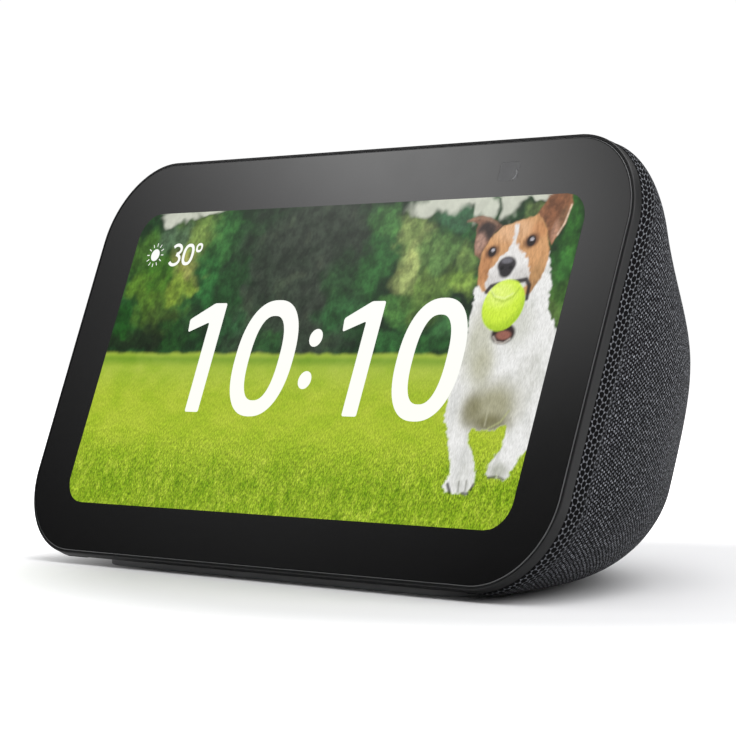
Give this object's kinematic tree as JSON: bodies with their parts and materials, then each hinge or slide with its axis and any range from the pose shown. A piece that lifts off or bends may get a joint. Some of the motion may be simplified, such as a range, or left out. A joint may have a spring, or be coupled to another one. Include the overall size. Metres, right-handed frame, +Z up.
{
  "type": "smart speaker with display",
  "caption": "Tabletop smart speaker with a leaning touch display, slim bezel, knit-covered rounded body, top controls, camera shutter and rear driver.",
  "frame": {"origin": "on the surface it stands on, under the middle of its bounding box", "axes": "+Z up, the display faces -Y, +X to the right of someone facing the display"},
  "size_m": [0.1476, 0.09, 0.0818],
  "materials": {
    "black_glass": "glossy, printed black on the inside",
    "foam": "soft matt foam",
    "bezel_plastic": "fine satin moulding",
    "lcd": "lit display",
    "light_guide": "white film stack",
    "sheet_metal": "plain stamped sheet",
    "screw_steel": "zinc plated",
    "black_plastic": "moulded, matt",
    "lens_glass": "coated lens",
    "shutter_plastic": "light grey, matt",
    "button_plastic": "satin",
    "circuit_board": "solder mask",
    "switch_body": "moulded",
    "microphone_can": "plated can",
    "gasket_rubber": "matt",
    "aluminium_plate": "milled",
    "copper": "copper",
    "flex_circuit": "amber film",
    "wire_red": "insulated wire",
    "wire_black": "insulated wire",
    "basket_metal": "black coated steel",
    "ferrite": "sintered",
    "spider_cloth": "resin treated cloth",
    "cone_paper": "pressed pulp",
    "knit": "charcoal open knit",
    "foot_rubber": "matt grey rubber"
  },
  "bodies": {
    "speaker": {"cover_glass": "black_glass", "glass_adhesive": "foam", "front_frame": "bezel_plastic", "lcd_panel": "lcd", "backlight_unit": "light_guide", "chassis_plate": "sheet_metal", "chassis_screws": "screw_steel", "camera_module": "black_plastic", "camera_lens": "lens_glass", "light_sensor": "black_plastic", "control_strip": "bezel_plastic", "button_board": "circuit_board", "tact_switches": "switch_body", "microphones": "microphone_can", "mic_gaskets": "gasket_rubber", "main_board": "circuit_board", "board_screws": "screw_steel", "processor_shield": "sheet_metal", "heat_spreader": "aluminium_plate", "antennas": "copper", "display_ribbon": "flex_circuit", "camera_ribbon": "flex_circuit", "speaker_wires": "wire_red", "power_lead": "wire_black", "speaker_chamber": "black_plastic", "speaker_gasket": "foam", "speaker_basket": "basket_metal", "speaker_screws": "screw_steel", "front_plate": "screw_steel", "ring_magnet": "ferrite", "yoke": "screw_steel", "spider": "spider_cloth", "cone_surround": "gasket_rubber", "rear_housing": "black_plastic", "fabric_cover": "knit", "rubber_foot": "foot_rubber", "stand_magnets": "screw_steel", "inlet_plate": "black_plastic", "dc_jack": "black_plastic", "dc_pin": "screw_steel"},
    "volume_up": {"volume_up_button": "button_plastic"},
    "volume_down": {"volume_down_button": "button_plastic"},
    "mic_key": {"mic_button": "button_plastic"},
    "shutter": {"shutter_blade": "shutter_plastic", "shutter_knob": "button_plastic"},
    "cone": {"voice_coil": "copper", "speaker_cone": "cone_paper", "dust_cap": "cone_paper"}
  },
  "joints": [
    {"name": "volume_up_press", "type": "slide", "parent": "speaker", "child": "volume_up", "axis": [0, 0, -1], "range_m": [0, 0.0004], "stiffness_N_per_m": 1500},
    {"name": "volume_down_press", "type": "slide", "parent": "speaker", "child": "volume_down", "axis": [0, 0, -1], "range_m": [0, 0.0004], "stiffness_N_per_m": 1500},
    {"name": "mic_press", "type": "slide", "parent": "speaker", "child": "mic_key", "axis": [0, 0, -1], "range_m": [0, 0.0004], "stiffness_N_per_m": 1500},
    {"name": "shutter_slide", "type": "slide", "parent": "speaker", "child": "shutter", "axis": [1, 0, 0], "range_m": [0, 0.0038]},
    {"name": "cone_travel", "type": "slide", "parent": "speaker", "child": "cone", "axis": [0, 1, 0], "range_m": [-0.0012, 0.0012], "stiffness_N_per_m": 2500}
  ]
}
